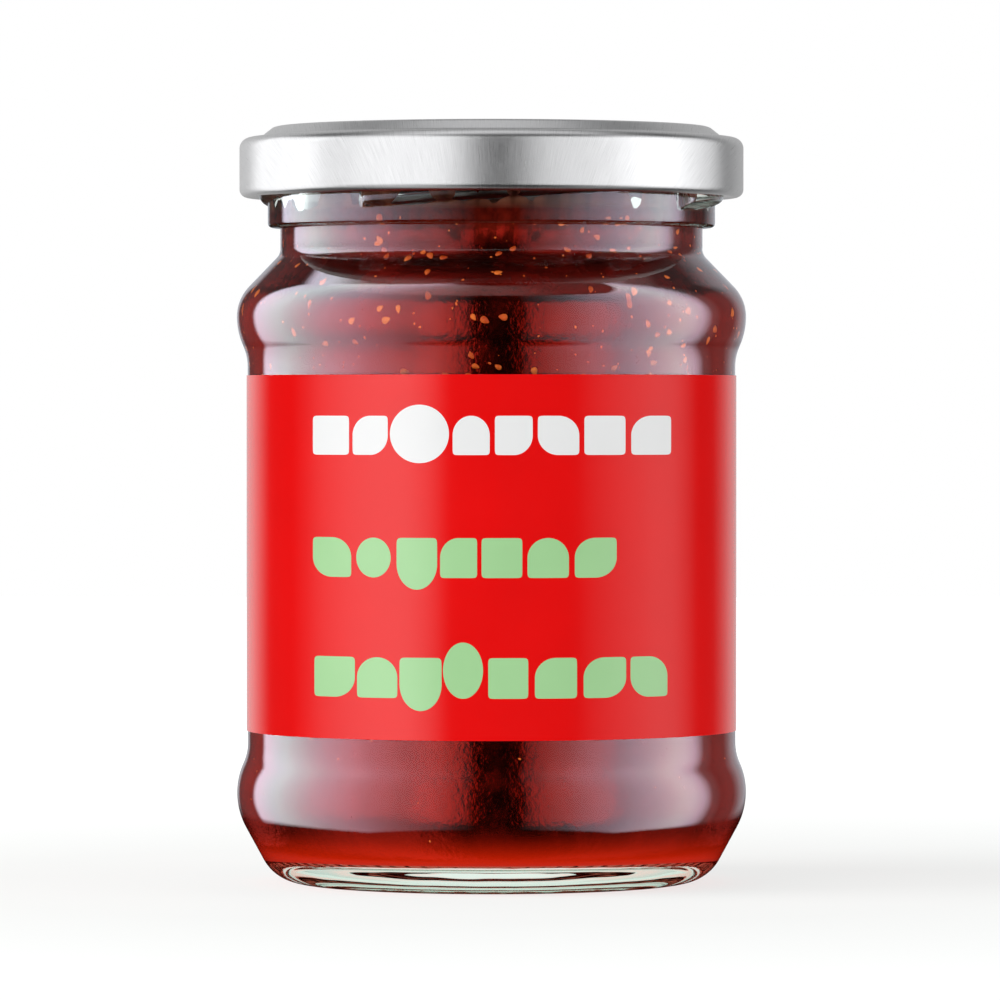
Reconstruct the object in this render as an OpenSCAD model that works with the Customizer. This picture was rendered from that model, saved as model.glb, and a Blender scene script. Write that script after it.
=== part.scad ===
// Shut jam jar: a shaped glass jar with a twist-off lid, a paper label round
// its waist, and jam inside up to the neck. Sizes are in millimetres. The
// origin is the middle of the face that the jar stands on, and +Z is up.
// The front, where the first thread starts, faces -Y.

/* [Glass jar] */
// Height of the glass from the table to the top of the rim
jar_h = 105.05; // [95:0.05:130]
// Diameter of the waist, where the label sits
waist_d = 68.1; // [62:0.1:84]
// How far the bulges above and below the waist stand proud of it
bulge_proud = 1.5; // [0.8:0.1:2.4]
// Thickness of the glass wall
wall = 2.4; // [1.6:0.1:3]
// Thickness of the glass floor at its edge
floor_t = 4.2; // [3.2:0.1:6]
// Height of the widest line of the lower bulge
low_bulge_h = 12.5; // [11:0.5:16]
// Radius of the heel, where the side turns under
heel_round = 6.15; // [4:0.05:7]
// Height of the hollow under the base
push_up = 2.2; // [1:0.1:3]
// Width of the ring that the jar stands on
foot_w = 2.4; // [1.5:0.1:4]

/* [Neck and thread] */
// Diameter of the neck just under the rim's bead
neck_d = 58.9; // [54:0.1:60]
// Height of the plain neck between shoulder and bead
neck_h = 2.85; // [1.5:0.05:6]
// Height of the finish, from the bead's lower edge to the rim
finish_h = 13.75; // [11.5:0.05:16]
// How far the finish stands proud of the neck
finish_proud = 1.75; // [1:0.05:2]
// Radius of the half-round thread
thread_r = 1.25; // [0.8:0.05:1.4]
// Number of thread starts, and of lid lugs
starts = 4; // [3:1:6]
// Slope of a thread, in degrees
thread_slope = 3.8; // [2:0.1:5]

/* [Lid] */
// Thickness of the lid's sheet metal
sheet = 0.25; // [0.2:0.05:0.4]
// Height of the lid
lid_h = 9.8; // [8:0.1:11]
// Gap between a thread's crest and the lid's rolled edge
thread_gap = 0.5; // [0.3:0.05:1]
// Gap between a lug and the thread over it
lug_gap = 0.15; // [0.1:0.05:0.3]
// Outer radius of the rolled edge at the lid's foot
curl_r = 1.1; // [0.8:0.05:1.3]
// Radius of the skirt's upper corner
crown_round = 1.5; // [0.8:0.1:2]
// Height of the raised ring over the rim above the lid's outer step
ring_rise = 1.5; // [0.8:0.1:2]
// Depth of the centre panel below the raised ring
panel_drop = 1.2; // [0.6:0.1:1.6]
// Diameter of the safety button in the centre panel
button_d = 25; // [18:1:30]
// Depth of the safety button below the centre panel
button_drop = 0.5; // [0.3:0.1:0.8]

/* [Label] */
// Bare glass between the lower bulge's foot and the label
bare_below = 1.7; // [0:0.1:12]
// Bare glass between the label and the upper bulge's foot
bare_above = 1.2; // [0:0.1:12]
// Thickness of the paper
paper = 0.1; // [0.08:0.01:0.2]
// Glue between paper and glass
glue = 0.02; // [0.02:0.01:0.1]
// Width of the open seam at the back
seam_w = 1.5; // [0.5:0.1:10]

/* [Jam] */
// Free height between the jam and the rim
headspace = 12; // [8:0.1:20]
// Height that the jam climbs at the glass
meniscus = 0.5; // [0.2:0.1:1.5]
// Gap that keeps the jam's faces clear of the glass
fill_gap = 0.05; // [0.05:0.01:0.2]

/* [Hidden] */
$fn = 96;

ARC_STEPS = 10;        // straight pieces in each arc of a profile
FLANK = 29;            // slope of the side above the heel, from the vertical
SHOULDER = 44;         // slope of the shoulder, from the vertical
BULGE_ROUND = 10;      // radius of the bulges on the side of the waist
SHOULDER_ROUND = 6;    // radius of the upper bulge on the side of the shoulder
WAIST_ROUND = 7.1;     // radius where a bulge runs into the waist
NECK_ROUND = 2;        // radius where the shoulder runs into the neck
BEAD_ROUND = 0.6;      // radius of the bead's lower edge
RIM_LAND = 0.8;        // width of the flat on top of the rim
INNER_HEEL = 5;        // radius inside, between wall and floor
FLOOR_RISE = 0.5;      // rise of the floor in the middle, as a share of push_up
FOOT_STEP = 0.7;       // height of the step inside the foot ring
THREAD_ARC = 86;       // degrees that a thread runs
THREAD_START = -34;    // degrees from the front to the first thread's low end
LUG_ARC = 10;          // degrees that a lug runs
LUG_T = 0.4;           // thickness of a lug
LUG_BITE = 0.7;        // how far a lug reaches in past the thread's crest
LUG_LIFT = 0.58;       // height of a lug's upper face over the lid's foot
RING_BEVEL = 1.9;      // width of the raised ring's outer bevel
RING_LAP = 1.1;        // how far the ring's bevel starts outside the finish
STEP_W = 1;            // width of the slopes round the panel and the button

waist_r = waist_d / 2;
bulge_r = waist_r + bulge_proud;
neck_r = neck_d / 2;
finish_r = neck_r + finish_proud;
bore_r = neck_r - wall;
// Height of the curve between a bulge's widest line and the waist
curve_h = sqrt(bulge_proud * (2 * (BULGE_ROUND + WAIST_ROUND) - bulge_proud));
curve_a = atan2(curve_h, BULGE_ROUND + WAIST_ROUND - bulge_proud);

bead_z = jar_h - finish_h;
neck_z = bead_z - neck_h;
shoulder_run = (bulge_r - SHOULDER_ROUND * (1 - cos(SHOULDER)))
             - (neck_r + NECK_ROUND * (1 - cos(SHOULDER)));
high_bulge_h = neck_z - (NECK_ROUND + SHOULDER_ROUND) * sin(SHOULDER)
             - shoulder_run / tan(SHOULDER);
waist_z0 = low_bulge_h + curve_h;
waist_z1 = high_bulge_h - curve_h;

flank_drop = low_bulge_h - BULGE_ROUND * sin(FLANK) - heel_round * (1 - sin(FLANK));
foot_r = bulge_r - BULGE_ROUND * (1 - cos(FLANK)) - flank_drop * tan(FLANK)
       - heel_round * cos(FLANK);
foot_in_r = foot_r - foot_w;

jam_z = jar_h - headspace;
lid_top = jar_h + sheet;
lid_foot = lid_top - lid_h;
curl_in_r = finish_r + thread_r + thread_gap;
skirt_r = curl_in_r + 2 * curl_r;
step_z = lid_top - ring_rise;
panel_z = lid_top - panel_drop;
ring_out_r = finish_r + RING_LAP;
ring_in_r = bore_r + sheet;
label_z = waist_z0 + bare_below;
label_h = waist_z1 - bare_above - label_z;

lug_r = finish_r + thread_r - LUG_BITE;
lug_top = lid_foot + LUG_LIFT;
// Height of the middle of a thread, whose high end lies on the lugs
thread_z = lug_top + lug_gap + sqrt(pow(thread_r, 2) - pow(lug_r - finish_r, 2))
         - finish_r * tan(thread_slope) * sin(THREAD_ARC / 2 - LUG_ARC);

// Points along an arc of radius r about [x, z], from angle a0 to angle a1
function arc(x, z, r, a0, a1) =
    [for (i = [0 : ARC_STEPS])
        let (a = a0 + (a1 - a0) * i / ARC_STEPS) [x + r * cos(a), z + r * sin(a)]];

// The side of the jar from flank to neck, moved inwards by inset
function side(inset) = concat(
    arc(bulge_r - BULGE_ROUND, low_bulge_h, BULGE_ROUND - inset, -FLANK, curve_a),
    arc(waist_r + WAIST_ROUND, waist_z0, WAIST_ROUND + inset, 180 + curve_a, 180),
    arc(waist_r + WAIST_ROUND, waist_z1, WAIST_ROUND + inset, 180, 180 - curve_a),
    arc(bulge_r - BULGE_ROUND, high_bulge_h, BULGE_ROUND - inset, -curve_a, 0),
    arc(bulge_r - SHOULDER_ROUND, high_bulge_h, SHOULDER_ROUND - inset, 0, SHOULDER),
    arc(neck_r + NECK_ROUND, neck_z, NECK_ROUND + inset, 180 + SHOULDER, 180));

// The inside of the jar from the middle of the floor up to the neck, moved
// inwards by a further gap
function inside(gap) =
    let (inset = wall + gap,
         heel = INNER_HEEL - gap,
         z = floor_t + gap + heel,
         // Distance of the flank's line from the origin, along its own normal
         flank = (bulge_r - BULGE_ROUND) * cos(FLANK) - low_bulge_h * sin(FLANK)
               + BULGE_ROUND - inset,
         x = (flank - heel + z * sin(FLANK)) / cos(FLANK),
         rise = push_up * FLOOR_RISE)
    concat(
        [for (i = [0 : ARC_STEPS - 1])
            let (t = i / ARC_STEPS) [x * t, floor_t + gap + rise * pow(1 - t * t, 2)]],
        arc(x, z, heel, -90, -FLANK),
        side(inset));

// The hollow under the base, from its middle out to the foot ring
function underside() =
    let (r = foot_in_r - FOOT_STEP)
    concat(
        [for (i = [0 : ARC_STEPS])
            let (t = i / ARC_STEPS)
            [r * t, FOOT_STEP + (push_up - FOOT_STEP) * (1 - t * t)]],
        [[foot_in_r, 0]]);

module jar_section() {
    outside = concat(
        underside(),
        arc(foot_r, heel_round, heel_round, -90, -FLANK),
        side(0),
        [[neck_r, bead_z]],
        arc(finish_r - BEAD_ROUND, bead_z + BEAD_ROUND, BEAD_ROUND, -90, 0));
    rim_r = (finish_r - bore_r - RIM_LAND) / 2;
    rim = concat(
        arc(finish_r - rim_r, jar_h - rim_r, rim_r, 0, 90),
        arc(bore_r + rim_r, jar_h - rim_r, rim_r, 90, 180));
    hollow = inside(0);
    polygon(concat(outside, rim, [for (i = [len(hollow) - 1 : -1 : 0]) hollow[i]]));
}

// One half-round thread with blunt ends, tilted so that it climbs to the right
module thread() {
    rotate([0, -thread_slope, 0])
        rotate([0, 0, -90 - THREAD_ARC / 2])
            rotate_extrude(angle = THREAD_ARC)
                translate([finish_r, 0]) circle(r = thread_r, $fn = 32);
}

module jar() {
    color([0.86, 0.92, 0.90, 0.35]) {
        rotate_extrude() jar_section();
        difference() {
            for (i = [0 : starts - 1])
                rotate([0, 0, i * 360 / starts + THREAD_START + THREAD_ARC / 2])
                    translate([0, 0, thread_z]) thread();
            cylinder(r = (finish_r + bore_r) / 2, h = jar_h);
        }
    }
}

// Jam up to its level, a little higher where it clings to the glass
module jam() {
    bowl = [for (p = inside(fill_gap)) if (p[1] < jam_z) p];
    wall_r = bore_r - fill_gap;
    color([0.45, 0.02, 0.02])
        rotate_extrude()
            polygon(concat(
                bowl,
                [for (i = [0 : ARC_STEPS])
                    let (t = 1 - i / ARC_STEPS)
                    [wall_r * t, jam_z + meniscus * pow(t, 6)]]));
}

module label() {
    seam = seam_w / waist_r * 180 / PI;
    color([0.90, 0.03, 0.03])
        translate([0, 0, label_z])
            rotate([0, 0, 90 + seam / 2])
                rotate_extrude(angle = 360 - seam)
                    translate([waist_r + glue, 0]) square([paper, label_h]);
}

// The lid's upper face from its middle out to the skirt, moved down and
// inwards by inset
function lid_top_line(inset) =
    let (button_r = button_d / 2)
    concat(
        [[0, panel_z - button_drop - inset],
         [button_r - STEP_W, panel_z - button_drop - inset],
         [button_r, panel_z - inset],
         [ring_in_r - STEP_W - inset, panel_z - inset],
         [ring_in_r - inset, lid_top - inset],
         [ring_out_r - RING_BEVEL - inset / 2, lid_top - inset],
         [ring_out_r - inset, step_z - inset]],
        arc(skirt_r - crown_round, step_z - crown_round, crown_round - inset, 90, 0));

module lid_section() {
    upper = lid_top_line(0);
    lower = lid_top_line(sheet);
    curl_x = skirt_r - curl_r;
    curl_z = lid_foot + curl_r;
    polygon(concat(
        upper,
        arc(curl_x, curl_z, curl_r, 0, -110),
        arc(curl_x, curl_z, curl_r, -110, -235),
        arc(curl_x, curl_z, curl_r - sheet, -235, -110),
        arc(curl_x, curl_z, curl_r - sheet, -110, 0),
        [for (i = [len(lower) - 1 : -1 : 0]) lower[i]]));
}

// The rolled edge pressed flat under the high end of each thread
module lugs() {
    for (i = [0 : starts - 1])
        rotate([0, 0, -90 + THREAD_START + THREAD_ARC - LUG_ARC + i * 360 / starts])
            rotate_extrude(angle = LUG_ARC)
                translate([lug_r, lug_top - LUG_T])
                    square([curl_in_r - lug_r + curl_r / 2, LUG_T]);
}

module lid() {
    color([0.82, 0.83, 0.84]) {
        rotate_extrude() lid_section();
        lugs();
    }
}

jar();
jam();
label();
lid();
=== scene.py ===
"""Shut jam jar on a white studio table: clear glass, strawberry jam, a red paper
label with plain tiles printed on it, and a brushed twist-off lid.

Sizes in the classes are millimetres. Azimuths are degrees from the front, which
faces -Y, and grow towards +X. Meshes are written in metres.
"""

from __future__ import annotations

import logging
from dataclasses import dataclass, field
from enum import Enum
from typing import Sequence, Union

import bpy
import numpy as np
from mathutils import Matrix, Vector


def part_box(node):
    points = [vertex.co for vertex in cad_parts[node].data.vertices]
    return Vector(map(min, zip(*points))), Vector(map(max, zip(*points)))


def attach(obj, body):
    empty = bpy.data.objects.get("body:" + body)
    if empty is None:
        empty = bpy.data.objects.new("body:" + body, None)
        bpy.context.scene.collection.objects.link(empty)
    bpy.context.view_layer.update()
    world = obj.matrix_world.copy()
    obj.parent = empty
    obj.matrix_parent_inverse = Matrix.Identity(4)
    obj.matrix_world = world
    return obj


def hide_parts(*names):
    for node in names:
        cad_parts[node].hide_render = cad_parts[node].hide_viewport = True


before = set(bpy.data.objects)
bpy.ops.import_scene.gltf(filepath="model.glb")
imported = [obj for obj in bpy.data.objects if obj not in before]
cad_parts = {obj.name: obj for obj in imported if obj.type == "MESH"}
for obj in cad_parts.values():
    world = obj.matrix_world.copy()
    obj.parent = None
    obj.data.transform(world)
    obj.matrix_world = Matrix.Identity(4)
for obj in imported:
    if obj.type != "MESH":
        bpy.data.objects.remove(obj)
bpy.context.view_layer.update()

LOG = logging.getLogger("jam_jar")
MM = 0.001
JAM_CLIMB = 0.5
FULL_TURN = 360.0
HALF_TURN = 180.0
WHITE = (1.0, 1.0, 1.0, 1.0)
Value = Union[bpy.types.NodeSocket, float, tuple]


# ---------------------------------------------------------------- surfaces


def arc(cx: float, cz: float, r: float, a0: float, a1: float, n: int) -> np.ndarray:
    """Points on a circle about (cx, cz), evenly spaced in angle.

    Args:
        cx: Distance of the centre from the jar's axis.
        cz: Height of the centre.
        r: Radius.
        a0: First angle in degrees, 0 pointing away from the axis.
        a1: Last angle in degrees.
        n: Number of points.

    Returns:
        Array (n, 2) of radius and height.
    """
    a = np.radians(np.linspace(a0, a1, n))
    return np.column_stack((cx + r * np.cos(a), cz + r * np.sin(a)))


def line(p: Sequence[float], q: Sequence[float], n: int) -> np.ndarray:
    """Points on the straight line from p to q, both ends included.

    Args:
        p: First point.
        q: Last point.
        n: Number of points.

    Returns:
        Array (n, 2).
    """
    t = np.linspace(0.0, 1.0, n)[:, None]
    return np.asarray(p)[None, :] * (1 - t) + np.asarray(q)[None, :] * t


def join(*parts: np.ndarray) -> np.ndarray:
    """One profile out of several that follow each other.

    Args:
        parts: Arrays of points, the end of one near the start of the next.

    Returns:
        Array of points without those closer than a thousandth to the last.
    """
    points = np.concatenate(parts)
    step = np.linalg.norm(np.diff(points, axis=0), axis=1)
    keep = np.concatenate(([True], step > 1e-3))
    return points[keep]


def soften(corners: np.ndarray, radius: float, n: int = 5) -> np.ndarray:
    """A polyline with each inner corner replaced by a short parabola.

    The parabola leaves the line at radius before the corner P, arrives at radius
    after it, and has P as its control point: (1-s)^2 A + 2s(1-s) P + s^2 C.

    Args:
        corners: Array (k, 2) of corners.
        radius: How far before and after a corner the curve starts and ends.
        n: Points on each curve.

    Returns:
        Array of points.
    """
    before = corners[:-2] - corners[1:-1]
    after = corners[2:] - corners[1:-1]
    len_b = np.linalg.norm(before, axis=1, keepdims=True)
    len_a = np.linalg.norm(after, axis=1, keepdims=True)
    mid = corners[1:-1, None, :]
    start = (corners[1:-1] + before / len_b * np.minimum(radius, 0.45 * len_b))[:, None, :]
    end = (corners[1:-1] + after / len_a * np.minimum(radius, 0.45 * len_a))[:, None, :]
    s = np.linspace(0.0, 1.0, n)[None, :, None]
    curve = (1 - s) ** 2 * start + 2 * s * (1 - s) * mid + s**2 * end
    return join(corners[:1], curve.reshape(-1, 2), corners[-1:])


def turned(radius: np.ndarray, azimuth: np.ndarray, height: np.ndarray) -> np.ndarray:
    """Points at a radius, an azimuth from the front and a height.

    x = radius * sin(azimuth) and y = -radius * cos(azimuth).

    Args:
        radius: Distance from the axis.
        azimuth: Degrees from -Y towards +X.
        height: Height.

    Returns:
        Array with a last axis of x, y, z, in the arguments' unit.
    """
    a = np.radians(azimuth)
    return np.stack(np.broadcast_arrays(radius * np.sin(a), -radius * np.cos(a), height), axis=-1)


@dataclass
class Skin:
    """A surface as arrays: vertices, four-cornered and three-cornered faces, and a
    flat place for each vertex."""

    verts: np.ndarray
    quads: np.ndarray
    tris: np.ndarray
    flat: np.ndarray | None = None

    @staticmethod
    def of_grid(points: np.ndarray, wraps: bool, poles: bool, flat: np.ndarray | None = None) -> Skin:
        """The skin over a grid of points, rows running from one pole to the other.

        Args:
            points: Array (rows, columns, 3).
            wraps: Whether the last column joins the first.
            poles: Whether the first and last rows are single points.
            flat: Array (rows, columns, 2) with each point's place on a flat sheet.

        Returns:
            The skin, whose faces turn from row to next column.
        """
        rows, cols = points.shape[:2]
        index = np.arange(rows * cols).reshape(rows, cols)
        if poles:
            index[0] = 0
            index[1:-1] = np.arange((rows - 2) * cols).reshape(rows - 2, cols) + 1
            index[-1] = (rows - 2) * cols + 1
        across = np.roll(index, -1, axis=1) if wraps else index[:, 1:]
        here = index if wraps else index[:, :-1]
        quads = np.stack((here[:-1], across[:-1], across[1:], here[1:]), axis=-1)
        tris = np.zeros((0, 3), dtype=int)
        verts = points.reshape(-1, 3)
        sheet = None if flat is None else flat.reshape(-1, 2)
        if poles:
            first = np.stack((here[0], across[1], here[1]), axis=-1)
            last = np.stack((here[-2], across[-2], here[-1]), axis=-1)
            tris = np.concatenate((first, last))
            quads = quads[1:-1]
            verts = np.concatenate((points[0, :1], points[1:-1].reshape(-1, 3), points[-1, :1]))
            if flat is not None:
                sheet = np.concatenate((flat[0, :1], flat[1:-1].reshape(-1, 2), flat[-1, :1]))
        return Skin(verts, quads.reshape(-1, 4), tris, sheet)

    def repeated(self, many: np.ndarray) -> Skin:
        """The same skin laid over many sets of points.

        Args:
            many: Array (copies, vertices, 3), in this skin's order of vertices.

        Returns:
            One skin that holds every copy.
        """
        step = (np.arange(len(many)) * len(self.verts))[:, None, None]
        quads = (self.quads[None] + step).reshape(-1, 4)
        tris = (self.tris[None] + step).reshape(-1, 3)
        return Skin(many.reshape(-1, 3), quads, tris)

    @staticmethod
    def of_copies(grids: np.ndarray) -> Skin:
        """One skin over several closed grids of the same size, with poles at their ends.

        Args:
            grids: Array (copies, rows, columns, 3), each copy's columns wrapping round.

        Returns:
            One skin that holds every copy.
        """
        one = Skin.of_grid(grids[0], wraps=True, poles=True)
        middle = grids[:, 1:-1].reshape(len(grids), -1, 3)
        return one.repeated(np.concatenate((grids[:, 0, :1], middle, grids[:, -1, :1]), axis=1))

    def flipped(self) -> Skin:
        """The same skin with its faces pointing the other way."""
        return Skin(self.verts, self.quads[:, ::-1], self.tris[:, ::-1], self.flat)

    def build(
        self, name: str, finish: bpy.types.Material, smooth_angle: float | None = None
    ) -> bpy.types.Object:
        """Puts the skin into a mesh object at the origin, in metres.

        Args:
            name: Name of the piece.
            finish: Its material.
            smooth_angle: Degrees past which an edge is sharp, or None for smooth all over.

        Returns:
            The new object, linked to the scene.
        """
        mesh = bpy.data.meshes.new(name)
        corners = np.concatenate((self.quads.ravel(), self.tris.ravel())).astype(np.int32)
        starts = np.concatenate(
            (
                np.arange(len(self.quads)) * 4,
                len(self.quads) * 4 + np.arange(len(self.tris)) * 3,
            )
        ).astype(np.int32)
        mesh.vertices.add(len(self.verts))
        mesh.vertices.foreach_set("co", (self.verts * MM).astype(np.float32).ravel())
        mesh.loops.add(len(corners))
        mesh.loops.foreach_set("vertex_index", corners)
        mesh.polygons.add(len(starts))
        mesh.polygons.foreach_set("loop_start", starts)
        if self.flat is not None:
            layer = mesh.uv_layers.new(name="sheet")
            layer.uv.foreach_set("vector", self.flat[corners].astype(np.float32).ravel())
        mesh.update(calc_edges=True)
        mesh.validate()
        mesh.shade_smooth()
        if smooth_angle is not None:
            mesh.set_sharp_from_angle(angle=np.radians(smooth_angle))
        mesh.materials.append(finish)
        piece = bpy.data.objects.new(name, mesh)
        bpy.context.scene.collection.objects.link(piece)
        return piece


def smooth_noise(
    azimuth: np.ndarray, height: np.ndarray, seed: int, waves: int, reach: int, tall: float
) -> np.ndarray:
    """A gentle unevenness that closes round the jar.

    The sum of waves cosines, each with a whole number of turns round the jar, its
    own slope up the jar and its own phase, divided by the root of their number.

    Args:
        azimuth: Degrees round the jar.
        height: Heights, in millimetres.
        seed: Seed of the waves' numbers.
        waves: Number of waves.
        reach: Most turns round the jar.
        tall: Shortest wave up the jar, in millimetres.

    Returns:
        Array of about -1 to 1.
    """
    rng = np.random.default_rng(seed)
    turns = rng.integers(1, reach + 1, waves)
    slope = rng.uniform(-1, 1, waves) * 2 * np.pi / tall
    phase = rng.uniform(0, 2 * np.pi, waves)
    a, z = np.broadcast_arrays(np.radians(azimuth), height)
    angle = a[..., None] * turns + z[..., None] * slope + phase
    return np.cos(angle).sum(axis=-1) / np.sqrt(waves)


# ---------------------------------------------------------------- finishes


class Nodes:
    """A short way to write node trees."""

    def __init__(self, tree: bpy.types.NodeTree) -> None:
        """Empties the tree and keeps it."""
        self.tree = tree
        tree.nodes.clear()

    def feed(self, socket: bpy.types.NodeSocket, value: Value) -> None:
        """Links an output to an input, or sets the input.

        Args:
            socket: The input.
            value: An output, a number or a colour.
        """
        if isinstance(value, bpy.types.NodeSocket):
            self.tree.links.new(value, socket)
        else:
            socket.default_value = value

    def add(self, kind: str, inputs: dict | None = None, **settings: object) -> bpy.types.Node:
        """Adds a node, sets its properties, then its inputs.

        Args:
            kind: The node's type, without the common beginning of its name.
            inputs: Input name or number to a value or to an output.
            settings: Properties of the node.

        Returns:
            The node.
        """
        node = self.tree.nodes.new("ShaderNode" + kind)
        for name, value in settings.items():
            setattr(node, name, value)
        for name, value in (inputs or {}).items():
            self.feed(node.inputs[name], value)
        return node

    def math(self, operation: str, *values: Value) -> bpy.types.NodeSocket:
        """The output of a Math node on the given values."""
        return self.add("Math", dict(enumerate(values)), operation=operation).outputs[0]

    def place(self) -> bpy.types.NodeSocket:
        """Where a point of the piece lies, in metres."""
        return self.add("TexCoord").outputs["Object"]

    def height(self, place: bpy.types.NodeSocket) -> bpy.types.NodeSocket:
        """How high a place lies over the table, in metres."""
        return self.add("SeparateXYZ", {0: place}).outputs["Z"]

    def noise(
        self, place: bpy.types.NodeSocket, scale: float, detail: float, **more: float
    ) -> bpy.types.NodeSocket:
        """Cloudy noise of 0 to 1.

        Args:
            place: Where to read it.
            scale: Clouds in a metre.
            detail: Layers of finer clouds.
            more: The node's other inputs.

        Returns:
            The noise.
        """
        inputs = {"Vector": place, "Scale": scale, "Detail": detail, **more}
        return self.add("TexNoise", inputs).outputs["Fac"]

    def between(self, value: bpy.types.NodeSocket, start: float, end: float) -> bpy.types.NodeSocket:
        """How far a value is on its way from start to end, held to 0 to 1."""
        return self.add("MapRange", {"Value": value, "From Min": start, "From Max": end}).outputs[0]

    def relief(self, rise: bpy.types.NodeSocket, strength: float, depth: float) -> bpy.types.NodeSocket:
        """The normal over a relief of the given strength and depth in metres."""
        return self.add("Bump", {"Height": rise, "Strength": strength, "Distance": depth}).outputs[0]

    def ramp(
        self, value: bpy.types.NodeSocket, stops: Sequence[tuple], ease: bool = False
    ) -> bpy.types.NodeSocket:
        """A ramp over 0 to 1.

        Args:
            value: Where on the ramp to read it.
            stops: Pairs of place and grey value or colour.
            ease: Whether the ramp eases between its stops.

        Returns:
            The colour output.
        """
        node = self.add("ValToRGB", {"Fac": value})
        band = node.color_ramp
        band.interpolation = "EASE" if ease else "LINEAR"
        while len(band.elements) < len(stops):
            band.elements.new(0.5)
        for element, (place, shade) in zip(band.elements, stops):
            element.position = place
            rgb = (shade,) * 3 if np.isscalar(shade) else tuple(shade)
            element.color = (*rgb, 1.0)
        return node.outputs["Color"]

    def mix(self, factor: Value, a: Value, b: Value) -> bpy.types.NodeSocket:
        """The colour between two.

        Args:
            factor: 0 for a, 1 for b.
            a: First colour.
            b: Second colour.

        Returns:
            The mixed colour.
        """
        node = self.add("Mix", data_type="RGBA")
        first, second = (socket for socket in node.inputs if socket.type == "RGBA")
        self.feed(node.inputs["Factor"], factor)
        self.feed(first, a)
        self.feed(second, b)
        return next(socket for socket in node.outputs if socket.type == "RGBA")

    def added(self, a: Value, b: Value) -> bpy.types.NodeSocket:
        """The sum of two colours."""
        return self.add("VectorMath", {0: a, 1: b}, operation="ADD").outputs[0]

    def scaled(self, colour: Value, factor: Value) -> bpy.types.NodeSocket:
        """A colour with each part multiplied by factor."""
        return self.add("VectorMath", {0: colour, "Scale": factor}, operation="SCALE").outputs[0]


def new_material(name: str) -> tuple[bpy.types.Material, Nodes]:
    """An empty node material.

    Args:
        name: Name of the material.

    Returns:
        The material, and the writer of its tree.
    """
    material = bpy.data.materials.new(name)
    material.use_nodes = True
    return material, Nodes(material.node_tree)


@dataclass(frozen=True)
class ClearGlass:
    """Bright container glass, faintly green where it is thick, its foot tinted red up to a scalloped edge.
    """

    tint: tuple = (0.955, 0.985, 0.968, 1.0)
    light_tint: tuple = (0.97, 0.985, 0.975, 1.0)
    ior: float = 1.5
    swell_scale: float = 160.0
    swell: float = 0.02
    swell_depth: float = 0.001
    foot_red: tuple = (0.45, 0.10, 0.07, 1.0)
    scallop_scale: float = 330.0
    red_rise: float = 0.0010
    red_fade: float = 0.0002

    def material(self) -> bpy.types.Material:
        """Glass for what is seen through it, and clear for the light that falls in.

        The red tint at the foot reaches up to a noise times its greatest rise, and fades out over a short
        height above that.

        Returns:
            The material.
        """
        material, n = new_material("clear_glass")
        path = n.add("LightPath").outputs
        seen = n.math("MAXIMUM", path["Is Camera Ray"], path["Is Singular Ray"])
        where = n.place()
        bump = n.relief(n.noise(where, self.swell_scale, 1.0), self.swell, self.swell_depth)
        edge = n.math("MULTIPLY", n.noise(where, self.scallop_scale, 2.0), self.red_rise)
        foot_red_share = n.between(n.math("SUBTRACT", edge, n.height(where)), 0.0, self.red_fade)
        colour = n.mix(foot_red_share, self.tint, self.foot_red)
        glass = n.add("BsdfGlass", {"Color": colour, "Roughness": 0.0, "IOR": self.ior, "Normal": bump})
        clear = n.add("BsdfTransparent", {"Color": self.light_tint})
        both = n.add("MixShader", {0: seen, 1: clear.outputs[0], 2: glass.outputs[0]})
        n.add("OutputMaterial", {"Surface": both.outputs[0]})
        return material


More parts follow.
